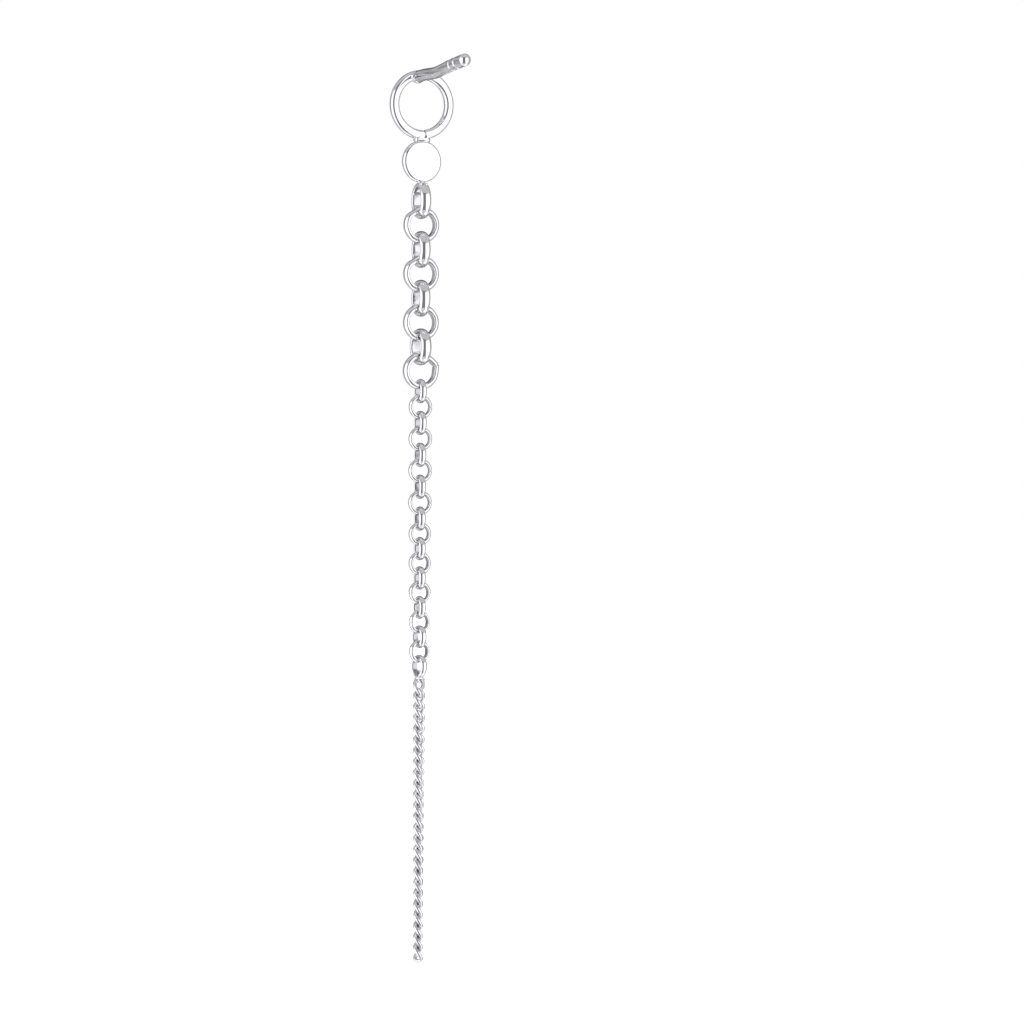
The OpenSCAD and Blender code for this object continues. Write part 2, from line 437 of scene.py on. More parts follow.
@dataclass
class EarPost:
    """The post of drawn wire, with its solder foot, two grooves for the nut and a buffed round tip.

    Its shaft is bent a little, as a worn post is: it droops near its foot and sags along its shaft.
    """

    finish: bpy.types.Material
    tip_finish: bpy.types.Material
    shaft_r: float = 0.47
    end_r: float = 0.485
    length: float = 8.7
    rise: float = 6.5
    root: float = 0.24
    foot_h: float = 0.2
    foot_steps: int = 8
    foot_spread: float = 0.03
    foot_side_spread: float = 0.1
    droop: float = 0.135
    droop_from: float = 0.3
    droop_to: float = 3.4
    bend: float = 0.1
    bend_from: float = 0.5
    bend_to: float = 6.2
    bend_steps: int = 28
    groove_r: float = 0.16
    groove_depth: float = 0.08
    grooves_from_tip: tuple[float, float] = (2.44, 1.56)
    groove_margins: tuple[float, float] = (0.02, 0.03)
    tip_round: float = 0.34
    tip_margin: float = 0.03
    tip_end: float = 88.0
    arc_steps: int = 12
    sides: int = 72

    def profile(self) -> list[tuple[float, float]]:
        """Gives the post's half section as pairs of radius and distance from the lobe's plane."""
        points = [(self.shaft_r, -self.root), (self.shaft_r, -self.root / 2)]
        points += [(self.shaft_r, self.foot_h * k / self.foot_steps) for k in range(self.foot_steps + 1)]
        points += [(self.shaft_r, self.bend_from + (self.bend_to - self.bend_from) * k / self.bend_steps)
                   for k in range(self.bend_steps)]
        cutter = self.end_r - self.groove_depth + self.groove_r
        before, after = self.groove_margins
        for number, from_tip in enumerate(self.grooves_from_tip):
            middle = self.length - from_tip
            edge_r = self.shaft_r if number == 0 else self.end_r
            near = math.degrees(math.acos((cutter - edge_r) / self.groove_r))
            far = math.degrees(math.acos((cutter - self.end_r) / self.groove_r))
            start = middle - self.groove_r * math.sin(math.radians(near))
            stop = middle + self.groove_r * math.sin(math.radians(far))
            points.append((edge_r, start - before))
            points.extend(arc((cutter, middle), self.groove_r, 180 + near, 180 - far, self.arc_steps))
            points.append((self.end_r, stop + after))
        ball = (self.end_r ** 2 + self.tip_round ** 2) / (2 * self.tip_round)
        shoulder = math.degrees(math.asin(self.end_r / ball))
        points.append((self.end_r, self.length - self.tip_round - self.tip_margin))
        points.extend(arc((0, self.length - ball), ball, 90 - shoulder, self.tip_end, self.arc_steps))
        return points

    def foot(self, turn: float, along: float) -> float:
        """Gives how far the solder spreads past the shaft, most of it on the post's left.

        Args:
            turn: the angle round the post's axis in radians, from +X.
            along: the distance from the lobe's plane.

        Returns:
            The spread, 0 above the foot.
        """
        rise = min(max(along / self.foot_h, 0.0), 1.0)
        hollow = 1 - math.sqrt(1 - (1 - rise) ** 2)
        side = max(0.0, -math.cos(turn)) ** 2
        return (self.foot_spread + self.foot_side_spread * side) * hollow

    def sag(self, along: float) -> float:
        """Gives how far the bent shaft lies below its straight axis at a distance from the lobe."""
        share = min(max((along - self.bend_from) / (self.bend_to - self.bend_from), 0.0), 1.0)
        drop = min(max((along - self.droop_from) / (self.droop_to - self.droop_from), 0.0), 1.0)
        return self.droop * drop * drop * (3 - 2 * drop) + self.bend * math.sin(math.pi * share) ** 2

    def build(self) -> bpy.types.Object:
        """Turns the section round the post's axis, bends it and leans it to its place."""
        lean = Euler((math.radians(90 - self.rise), 0, 0)).to_matrix()
        profile = self.profile()
        points = []
        for r, along in profile:
            for k in range(self.sides):
                turn = 2 * math.pi * k / self.sides
                wide = r + self.foot(turn, along)
                place = Vector((wide * math.cos(turn), wide * math.sin(turn) - self.sag(along), along))
                points.append(lean @ place)
        post = new_piece("ear_post", points, tube_faces(len(profile), self.sides, closed=False))
        post.data.materials.append(self.finish)
        post.data.materials.append(self.tip_finish)
        shaft_end = self.length - self.tip_round - self.tip_margin / 2
        tip_ring = sum(1 for _, along in profile if along < shaft_end)
        for face in post.data.polygons:
            face.material_index = int(min(face.vertices) >= (tip_ring - 1) * self.sides)
        return post


@dataclass
class FlatRing:
    """The ring of square bar, bent round, soldered shut at the bottom and buffed till its edges went."""

    finish: bpy.types.Material
    seam_finish: bpy.types.Material
    layout: Layout
    depth: float = 0.7
    squareness: float = 2.6
    sides: int = 64
    seam_angle: float = -85.2
    seam_width: float = 0.045
    seam_depth: float = 0.2
    seam_flare: float = 1.4
    seam_thin: float = 0.5
    seam_dark: float = 0.05
    dark_from: float = 0.4
    dark_full: float = 0.8
    steps: int = 300
    crowd: float = 0.9

    def build(self) -> bpy.types.Object:
        """Carries the bar's section round the ring, pinched in at the seam, most at its two ends."""
        middle_r = self.layout.ring_r - self.layout.ring_face / 2
        section = cushion(self.layout.ring_face, self.depth, self.squareness, self.sides)
        dark_span = self.dark_full - self.dark_from
        out = [abs(2 * across / self.layout.ring_face) for across, _ in section]
        ends = [min(max((share - self.dark_from) / dark_span, 0.0), 1.0) for share in out]
        points = []
        dark = []
        for i in range(self.steps):
            even = 2 * math.pi * i / self.steps - math.pi
            off = even - self.crowd * math.sin(even)
            a = off + math.radians(self.seam_angle)
            dark += [abs(off * middle_r) < self.seam_dark * end for end in ends]
            for across, deep in section:
                flare = 1 + self.seam_flare * (2 * across / self.layout.ring_face) ** 2
                pinch = self.seam_depth * math.exp(-((off * middle_r / (self.seam_width * flare)) ** 2))
                r = middle_r + across * (1 - pinch)
                points.append((self.layout.chain_x + r * math.cos(a),
                               self.depth / 2 + deep * (1 - pinch * self.seam_thin),
                               self.layout.ring_z + r * math.sin(a)))
        ring = new_piece("flat_ring", points, tube_faces(self.steps, len(section), closed=True))
        ring.data.materials.append(self.finish)
        ring.data.materials.append(self.seam_finish)
        for face in ring.data.polygons:
            face.material_index = int(all(dark[corner] for corner in face.vertices))
        return ring


@dataclass
class PlainDisc:
    """The plain disc, blanked from sheet and buffed until its edges went round."""

    finish: bpy.types.Material
    layout: Layout
    edge: float = 0.28
    squareness: float = 2.4
    middle_r: float = 0.05
    rim_step: float = 0.02
    rim_steps: int = 96
    sides: int = 180

    def build(self) -> bpy.types.Object:
        """Turns the disc's half section round its middle."""
        depth = self.layout.disc_thickness
        inner = self.layout.disc_r - self.edge
        half = [p for p in cushion(2 * self.edge, depth, self.squareness, self.rim_steps) if p[0] > 0]
        rim = [(inner + out, depth / 2 + deep) for out, deep in sorted(half, key=lambda p: p[1])]
        flat = inner - self.rim_step
        section = [(self.middle_r, 0.0), (flat, 0.0), *rim, (flat, depth), (self.middle_r, depth)]
        points = []
        for r, y in section:
            for k in range(self.sides):
                a = 2 * math.pi * k / self.sides
                points.append((self.layout.chain_x + r * math.cos(a), y,
                               self.layout.disc_z + r * math.sin(a)))
        disc = new_piece("plain_disc", points, tube_faces(len(section), self.sides, closed=False))
        disc.data.materials.append(self.finish)
        return disc


@dataclass
class Solder:
    """One bead of solder: a soft uneven block, turned about its height, that may be hollow in front."""

    name: str
    centre: tuple[float, float, float]
    size: tuple[float, float, float]
    squareness: float = 2.0
    hollow: float = 0.0
    turn: float = 0.0
    seed: int = 1
    cuts: int = 15
    unevenness: float = 0.012
    swells_per_mm: float = 5.0
    seed_step: float = 7.3
    least_reach: float = 0.1

    def add_to(self, points: list[Vector], faces: list[tuple[int, ...]]) -> None:
        """Adds the bead to a joined mesh.

        Args:
            points: the joined mesh's points in millimetres, which grow.
            faces: its faces, which grow.
        """
        work = bmesh.new()
        bmesh.ops.create_cube(work, size=2)
        bmesh.ops.subdivide_edges(work, edges=work.edges, cuts=self.cuts, use_grid_fill=True)
        first = len(points)
        turned = Matrix.Rotation(math.radians(self.turn), 3, "Z")
        for corner in work.verts:
            n = self.squareness
            reach = sum(abs(v) ** n for v in corner.co) ** (1 / n)
            x, y, z = (v / reach for v in corner.co)
            drawn_in = 1 - self.hollow * (1 - z * z)
            place = Vector((x * self.size[0], y * drawn_in * self.size[1], z * self.size[2])) / 2
            swell = noise.noise(place * self.swells_per_mm + Vector((self.seed * self.seed_step, 0, 0)))
            share = 1 + self.unevenness / max(place.length, self.least_reach) * swell
            points.append(turned @ place * share + Vector(self.centre))
        work.verts.index_update()
        faces.extend(tuple(first + v.index for v in face.verts) for face in work.faces)
        work.free()


@dataclass
class SolderJoints:
    """The solder of the top: at the post's foot, between ring and disc, and at the first link, with dark
    blobs of painted shade in the crevices beside it.
    """

    finish: bpy.types.Material
    painted_shade_finish: bpy.types.Material
    layout: Layout

    def places(self) -> tuple[float, float, float, float]:
        """Gives the chain's x and y, the neck's height and the height of the disc's lowest point."""
        neck_z = self.layout.ring_z - self.layout.ring_r - self.layout.disc_gap / 2
        drop_z = self.layout.disc_z - self.layout.disc_r
        return self.layout.chain_x, self.layout.chain_y, neck_z, drop_z

    def beads(self) -> dict[str, list[Solder]]:
        """Gives the beads of each joint by the name of their piece."""
        x, y, neck_z, drop_z = self.places()
        return {
            "neck_solder": [
                Solder("neck", (x + 0.02, y, neck_z), (1.44, 0.56, 0.56),
                       squareness=2.5, hollow=0.1, seed=3, cuts=23),
                Solder("left end", (x - 0.6, y - 0.18, neck_z + 0.02), (0.24, 0.3, 0.4),
                       squareness=3.2, seed=2),
                Solder("smear on the ring", (x - 0.1, 0.02, neck_z + 0.24), (0.6, 0.1, 0.16),
                       squareness=2.6, seed=4, cuts=11)],
            "link_solder": [
                Solder("under the disc", (x, y, drop_z), (0.6, 0.5, 0.3), seed=9),
                Solder("left drop", (x - 0.39, y - 0.6, drop_z - 0.19), (0.24, 0.34, 0.34),
                       squareness=3, seed=5),
                Solder("right drop", (x + 0.06, y - 0.64, drop_z - 0.19), (0.34, 0.3, 0.3),
                       squareness=3, seed=8)],
            "foot_solder": [
                Solder("foot bead", (-0.51, 0.0, 0.01), (0.34, 0.34, 0.32),
                       squareness=3.4, turn=-42, seed=11)],
        }

    def shade_creases(self) -> dict[str, list[Solder]]:
        """Gives dark blobs of painted shade in the crevices under the ring and beside the solder, by the
        name of their piece.
        """
        x, y, neck_z, drop_z = self.places()
        return {
            "neck_painted_shade": [
                # painted shadow: a dark band under the ring, along the top of the solder neck
                Solder("under the ring", (x - 0.1, 0.1, neck_z - 0.05), (0.8, 0.14, 0.085),
                       seed=13, cuts=9),
                Solder("beside the left end", (x - 0.47, 0.09, neck_z + 0.1), (0.08, 0.14, 0.16),
                       seed=14, cuts=7),
                Solder("end of the seam", (x + 0.27, 0.03, neck_z + 0.27), (0.12, 0.1, 0.2),
                       seed=17, cuts=7)],
            "link_painted_shade": [
                Solder("between the drops", (x - 0.18, y - 0.68, drop_z - 0.22), (0.1, 0.16, 0.4),
                       seed=15, cuts=7)],
            "foot_painted_shade": [
                Solder("beside the foot bead", (-0.74, 0.01, -0.04), (0.07, 0.08, 0.2),
                       seed=16, cuts=7)],
        }

    def build(self) -> list[bpy.types.Object]:
        """Makes one piece for each joint and one for the painted shade beside it."""
        joints = []
        # the second round gives the blobs of painted shade the seam's dark grey
        for kinds, finish in ((self.beads(), self.finish), (self.shade_creases(), self.painted_shade_finish)):
            for name, beads in kinds.items():
                points: list[Vector] = []
                faces: list[tuple[int, ...]] = []
                for bead in beads:
                    bead.add_to(points, faces)
                joint = new_piece(name, points, faces)
                joint.data.materials.append(finish)
                joints.append(joint)
        return joints


def new_tree(name: str, sizes: Sequence[tuple[str, str]]) -> tuple[bpy.types.NodeTree, dict[str, Any]]:
    """Starts a Geometry Nodes tree with named inputs.

    Args:
        name: the tree's name.
        sizes: rows of input name and kind: Float, Int, Vector or Material.

    Returns:
        The tree and its inputs' sockets by name.
    """
    tree = bpy.data.node_groups.new(name, "GeometryNodeTree")
    tree.interface.new_socket("Mesh", in_out="OUTPUT", socket_type="NodeSocketGeometry")
    for title, kind in sizes:
        tree.interface.new_socket(title, in_out="INPUT", socket_type="NodeSocket" + kind)
    given = add_node(tree, "NodeGroupInput")
    return tree, {title: given.outputs[title] for title, _ in sizes}


def grow(name: str, tree: bpy.types.NodeTree, sizes: dict[str, Any]) -> bpy.types.Object:
    """Grows a plain mesh from a Geometry Nodes tree.

    Args:
        name: the new piece's name.
        tree: the tree.
        sizes: a value for each of its inputs, by name, lengths in metres and angles in radians.

    Returns:
        The piece, without a modifier.
    """
    piece = new_object(name, bpy.data.meshes.new(name))
    modifier = piece.modifiers.new(tree.name, "NODES")
    modifier.node_group = tree
    for socket in tree.interface.items_tree:
        if socket.in_out == "INPUT":
            modifier[socket.identifier] = sizes[socket.name]
    graph = bpy.context.evaluated_depsgraph_get()
    mesh = bpy.data.meshes.new_from_object(piece.evaluated_get(graph), depsgraph=graph)
    piece.modifiers.remove(modifier)
    piece.data = mesh
    face_outwards(mesh)
    return piece


@dataclass
class LinkShape:
    """The sizes of one half-round belcher link and the marks that its making left on it.

    Its inner edges are rounded: edge_r is their size across the wire, edge_reach along its thickness.
    """

    inner_r: float
    width: float
    thickness: float
    centre: tuple[float, float, float]
    turn: float
    edge_r: float = 0.085
    edge_reach: float = 0.153
    corner_reach: float = 0.0
    seam_angle: float = 90.0
    seam_depth: float = 0.0
    seam_width: float = 0.05
    straight_angle: float = 0.0
    straight_span: float = 0.0
    unevenness: float = 0.009
    seed: int = 0


@dataclass
class BelcherTree:
    """The Geometry Nodes tree of a half-round link: flat inside, domed outside, with its seam.

    It starts from a plain tube, whose points crowd towards the seam. corner_part is the share of the
    inside's turn that the two round corners take, and wave the length of the unevenness.
    """

    steps: int = 128
    sides: int = 36
    tube_r: float = 1.0
    tube_wire_r: float = 0.5
    crowd: float = 0.8
    corner_part: float = 0.7
    wave: float = 0.9
    # names the attribute that picks out the flat inner faces, which get the darker material of painted
    # shade
    shade_mark: str = "flat_inside_shade"

    inputs: tuple[tuple[str, str], ...] = (
        ("Inner Radius", "Float"), ("Wire Width", "Float"), ("Wire Thickness", "Float"),
        ("Edge Radius", "Float"), ("Edge Reach", "Float"), ("Corner Reach", "Float"),
        ("Seam Angle", "Float"), ("Seam Depth", "Float"), ("Seam Width", "Float"),
        ("Straight Angle", "Float"), ("Straight Span", "Float"), ("Unevenness", "Float"),
        ("Seed", "Float"), ("Turn", "Vector"), ("Centre", "Vector"), ("Material", "Material"),
        ("Inside", "Material"))

    def sums(self) -> list[tuple]:
        """Gives the table of sums from a plain tube's two angles to the link's own point."""
        return [
            # round the link: points crowd towards the seam, which is at angle 0
            ("even", "ARCTAN2", "y", "x"),
            ("even_sine", "SINE", "even"),
            ("off", "MULTIPLY_ADD", "even_sine", -self.crowd, "even"),
            ("seam_off", "ABSOLUTE", "off"),
            ("angle", "ADD", "off", "Seam Angle"),
            # round the section: a dome outside and a nearly flat face inside
            ("plan", "POWER", "plan_squared", 0.5),
            ("across", "SUBTRACT", "plan", self.tube_r),
            ("round", "ARCTAN2", "z", "across"),
            ("cosine", "COSINE", "round"),
            ("sine", "SINE", "round"),
            ("outside", "MAXIMUM", "cosine", 0.0),
            ("inside", "MINIMUM", "cosine", 0.0),
            ("inside_depth", "ABSOLUTE", "inside"),
            ("corner_way", "DIVIDE", "inside_depth", self.corner_part),
            ("corner_share", "MINIMUM", "corner_way", 1.0),
            ("corner_turn", "MULTIPLY", "corner_share", math.pi / 2),
            ("corner_up", "SINE", "corner_turn"),
            ("corner_in", "COSINE", "corner_turn"),
            ("dome", "SUBTRACT", "Wire Thickness", "Edge Reach"),
            ("dome_out", "MULTIPLY", "outside", "dome"),
            ("corner_rest", "SUBTRACT", 1.0, "corner_up"),
            ("proud", "MULTIPLY_ADD", "corner_rest", "Edge Reach", "dome_out"),
            # how far aside: the corner's arc, then evenly over the flat to the middle
            ("half_width", "MULTIPLY", "Wire Width", 0.5),
            ("flat_half", "SUBTRACT", "half_width", "Edge Radius"),
            ("past_corner", "SUBTRACT", "inside_depth", self.corner_part),
            ("flat_way", "MAXIMUM", "past_corner", 0.0),
            ("flat_share", "MULTIPLY_ADD", "flat_way", -1 / (1 - self.corner_part), 1.0),
            ("flat_out", "MULTIPLY", "flat_half", "flat_share"),
            ("aside_in", "MULTIPLY_ADD", "corner_in", "Edge Radius", "flat_out"),
            ("sine_size", "ABSOLUTE", "sine"),
            ("aside_out", "MULTIPLY", "sine_size", "half_width"),
            ("is_inside", "LESS_THAN", "cosine", 0.0),
            ("aside_gap", "SUBTRACT", "aside_in", "aside_out"),
            ("aside_size", "MULTIPLY_ADD", "is_inside", "aside_gap", "aside_out"),
            ("hand", "SIGN", "sine"),
            ("aside", "MULTIPLY", "aside_size", "hand"),
            ("is_flat", "GREATER_THAN", "inside_depth", self.corner_part),
            # the seam is a shallow groove all round the wire
            ("seam_way", "MULTIPLY", "seam_off", "Inner Radius"),
            ("seam_share", "DIVIDE", "seam_way", "Seam Width"),
            ("seam_square", "MULTIPLY", "seam_share", "seam_share"),
            ("seam_minus", "MULTIPLY", "seam_square", -1.0),
            ("seam_bell", "EXPONENT", "seam_minus"),
            ("pinch", "MULTIPLY", "seam_bell", "Seam Depth"),
            ("keep", "SUBTRACT", 1.0, "pinch"),
            ("proud_kept", "MULTIPLY", "proud", "keep"),
            ("aside_kept", "MULTIPLY", "aside", "keep"),
            # a corner where the two ends run straight to meet
            ("outer", "ADD", "Inner Radius", "Wire Thickness"),
            ("reach", "MAXIMUM", "Corner Reach", "outer"),
            ("reach_share", "DIVIDE", "outer", "reach"),
            ("corner_span", "ARCCOSINE", "reach_share"),
            ("corner_bend", "SUBTRACT", "corner_span", "seam_off"),
            ("corner_left", "MAXIMUM", "corner_bend", 0.0),
            ("corner_cosine", "COSINE", "corner_left"),
            # a stretch that the pliers left straight
            ("from_straight", "SUBTRACT", "angle", "Straight Angle"),
            ("wrapped", "WRAP", "from_straight", math.pi, -math.pi),
            ("straight_off", "ABSOLUTE", "wrapped"),
            ("straight_left", "MINIMUM", "straight_off", "Straight Span"),
            ("straight_cosine", "COSINE", "straight_left"),
            ("span_cosine", "COSINE", "Straight Span"),
            ("straight", "DIVIDE", "span_cosine", "straight_cosine"),
            # the point itself, with the link's axis along Y
            ("radius", "ADD", "Inner Radius", "proud_kept"),
            ("cornered", "DIVIDE", "radius", "corner_cosine"),
            ("final", "MULTIPLY", "cornered", "straight"),
            ("angle_cosine", "COSINE", "angle"),
            ("angle_sine", "SINE", "angle"),
            ("new_x", "MULTIPLY", "final", "angle_cosine"),
            ("new_z", "MULTIPLY", "final", "angle_sine"),
            ("new_y", "MULTIPLY", "aside_kept", -1.0),
        ]

    def build(self) -> bpy.types.NodeTree:
        """Makes the tree."""
        tree, given = new_tree("belcher_link", self.inputs)
        path = add_node(tree, "GeometryNodeCurvePrimitiveCircle", {
            "Resolution": self.steps, "Radius": self.tube_r})
        wire = add_node(tree, "GeometryNodeCurvePrimitiveCircle", {
            "Resolution": self.sides, "Radius": self.tube_wire_r})
        tube = add_node(tree, "GeometryNodeCurveToMesh", {
            "Curve": path.outputs["Curve"], "Profile Curve": wire.outputs["Curve"]})
        place = add_node(tree, "GeometryNodeInputPosition")
        flat = add_node(tree, "ShaderNodeVectorMath", {0: place.outputs[0], 1: (1, 1, 0)},
                        operation="MULTIPLY")
        square = add_node(tree, "ShaderNodeVectorMath", {0: flat.outputs[0], 1: flat.outputs[0]},
                          operation="DOT_PRODUCT")
        parts = add_node(tree, "ShaderNodeSeparateXYZ", {0: place.outputs[0]})
        known = {**given, "x": parts.outputs["X"], "y": parts.outputs["Y"], "z": parts.outputs["Z"],
                 "plan_squared": square.outputs["Value"]}
        found = work_out(tree, known, self.sums())
        point = add_node(tree, "ShaderNodeCombineXYZ", {
            "X": found["new_x"], "Y": found["new_y"], "Z": found["new_z"]})
        marked = add_node(tree, "GeometryNodeStoreNamedAttribute", {
            "Geometry": tube.outputs["Mesh"], "Name": self.shade_mark, "Value": found["is_flat"]},
            data_type="FLOAT", domain="FACE")
        formed = add_node(tree, "GeometryNodeSetPosition", {
            "Geometry": marked.outputs[0], "Position": point.outputs[0]})
        waves = add_node(tree, "ShaderNodeTexNoise", {
            "Vector": place.outputs[0], "W": given["Seed"], "Scale": 1 / (self.wave * MM),
            "Detail": 1.0}, noise_dimensions="4D")
        centred = add_node(tree, "ShaderNodeMath", {0: waves.outputs["Fac"], 1: 0.5},
                           operation="SUBTRACT")
        height = add_node(tree, "ShaderNodeMath", {0: centred.outputs[0], 1: given["Unevenness"]},
                          operation="MULTIPLY")
        normal = add_node(tree, "GeometryNodeInputNormal")
        push = add_node(tree, "ShaderNodeVectorMath", {0: normal.outputs[0], "Scale": height.outputs[0]},
                        operation="SCALE")
        worked = add_node(tree, "GeometryNodeSetPosition", {
            "Geometry": formed.outputs[0], "Offset": push.outputs[0]})
        hung = add_node(tree, "GeometryNodeTransform", {
            "Geometry": worked.outputs[0], "Translation": given["Centre"], "Rotation": given["Turn"]})
        real = add_node(tree, "GeometryNodeRealizeInstances", {"Geometry": hung.outputs[0]})
        dressed = add_node(tree, "GeometryNodeSetMaterial", {
            "Geometry": real.outputs[0], "Material": given["Material"]})
        # painted shade: the flat inner faces picked out above get the darker material
        inside = add_node(tree, "GeometryNodeInputNamedAttribute", {"Name": self.shade_mark},
                          data_type="FLOAT")
        lined = add_node(tree, "GeometryNodeSetMaterial", {
            "Geometry": dressed.outputs[0], "Selection": inside.outputs[0], "Material": given["Inside"]})
        add_node(tree, "NodeGroupOutput", {0: lined.outputs[0]})
        return tree


@dataclass
class BelcherChain:
    """The large and the small half-round links, each hung at its solid's height and turn.

    Two of the large ones keep a straight stretch from the pliers. The last large one closes in a
    corner. small_seams has rows of a small link's number and the angle at which its seam shows a notch.
    """

    finish: bpy.types.Material
    # the two darker materials paint shade on the links' flat insides
    large_inside_shade: bpy.types.Material
    small_inside_shade: bpy.types.Material
    layout: Layout
    large_inner_r: float = 1.035
    large_width: float = 0.84
    large_thickness: float = 0.41
    large_count: int = 8
    corner_reach: float = 1.61
    corner_angle: float = 21.0
    straight_links: tuple[int, ...] = (2, 4)
    straight_angle: float = 122.0
    straight_span: float = 22.0
    small_inner_r: float = 0.68
    small_low_inner_r: float = 0.64
    small_width: float = 0.54
    small_thickness: float = 0.27
    small_upper_count: int = 9
    small_count: int = 19
    large_turns: tuple[int, ...] = (-7, -7, -9, -7, -9, -7, -3, -7)
    small_turns: tuple[int, ...] = (
        -7, -8, -7, -9, -9, -10, -10, -10, -11, -6, -9, -4, -8, -3, -5, 3, 1, 6, 7)
    small_seams: tuple[tuple[int, float], ...] = ((2, 0.0), (6, 0.0), (8, 0.0), (14, 180.0), (16, 180.0))
    small_edge_r: float = 0.06
    small_edge_reach: float = 0.085
    small_unevenness: float = 0.008
    small_seed: int = 20
    seam_depth: float = 0.3
    large_seam_width: float = 0.03
    small_seam_width: float = 0.035

    @staticmethod
    def standing(number: int) -> Standing:
        """Says how a link stands: odd ones show their side, even ones their face."""
        return Standing.EDGE_ON if number % 2 else Standing.FACE_ON

    @staticmethod
    def large_node(number: int) -> str:
        """Names the solid of a large link; the first one is part of the soldered top."""
        return "soldered_top" if number == 1 else f"large_link_{number}"

    def large_link(self, number: int) -> LinkShape:
        """Gives the shape of one large link.

        Args:
            number: its number from the top.

        Returns:
            The link's sizes and place.
        """
        outer_r = self.large_inner_r + self.large_thickness
        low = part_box(self.large_node(number))[0] / MM
        shape = LinkShape(
            self.large_inner_r, self.large_width, self.large_thickness,
            (self.layout.chain_x, self.layout.chain_y, low.z + outer_r),
            self.large_turns[number - 1] + self.standing(number).value, seed=number)
        if number in self.straight_links:
            shape.straight_angle = self.straight_angle
            shape.straight_span = self.straight_span
        if number == self.large_count:
            shape.corner_reach = self.corner_reach
            shape.seam_angle = self.corner_angle
            shape.seam_depth = self.seam_depth
            shape.seam_width = self.large_seam_width
        return shape

    def small_link(self, number: int) -> LinkShape:
        """Gives the shape of one small link.

        Args:
            number: its number from the top.

        Returns:
            The link's sizes and place.
        """
        inner_r = self.small_inner_r if number <= self.small_upper_count else self.small_low_inner_r
        low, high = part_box(f"small_link_{number}")
        shape = LinkShape(
            inner_r, self.small_width, self.small_thickness,
            (self.layout.chain_x, self.layout.chain_y, (low.z + high.z) / 2 / MM),
            self.small_turns[number - 1] + self.standing(number).value,
            edge_r=self.small_edge_r, edge_reach=self.small_edge_reach,
            unevenness=self.small_unevenness, seed=self.small_seed + number)
        seams = dict(self.small_seams)
        if number in seams:
            shape.seam_angle = seams[number]
            shape.seam_depth = self.seam_depth
            shape.seam_width = self.small_seam_width
        return shape

    def grow_link(self, name: str, tree: bpy.types.NodeTree, shape: LinkShape,
                  inside: bpy.types.Material) -> bpy.types.Object:
        """Grows one link.

        Args:
            name: the piece's name.
            tree: the link tree.
            shape: its sizes and place.
            inside: the darker material of its flat inner face, which is painted shade.

        Returns:
            The link as a plain mesh.
        """
        return grow(name, tree, {
            "Inner Radius": shape.inner_r * MM, "Wire Width": shape.width * MM,
            "Wire Thickness": shape.thickness * MM, "Edge Radius": shape.edge_r * MM,
            "Edge Reach": shape.edge_reach * MM, "Corner Reach": shape.corner_reach * MM,
            "Seam Angle": math.radians(shape.seam_angle),
            "Seam Depth": shape.seam_depth, "Seam Width": shape.seam_width * MM,
            "Straight Angle": math.radians(shape.straight_angle),
            "Straight Span": math.radians(shape.straight_span),
            "Unevenness": 2 * shape.unevenness * MM, "Seed": float(shape.seed),
            "Turn": (0.0, 0.0, math.radians(shape.turn)), "Centre": tuple(v * MM for v in shape.centre),
            "Material": self.finish, "Inside": inside})

    def build(self) -> dict[str, bpy.types.Object]:
        """Grows all the links and gives each by the name of the node that it stands for."""
        tree = BelcherTree().build()
        links = {}
        for number in range(1, self.large_count + 1):
            name = "soldered_link" if number == 1 else f"belcher_large_{number}"
            links[self.large_node(number)] = self.grow_link(
                name, tree, self.large_link(number), self.large_inside_shade)
        for number in range(1, self.small_count + 1):
            links[f"small_link_{number}"] = self.grow_link(
                f"belcher_small_{number}", tree, self.small_link(number), self.small_inside_shade)
        return links


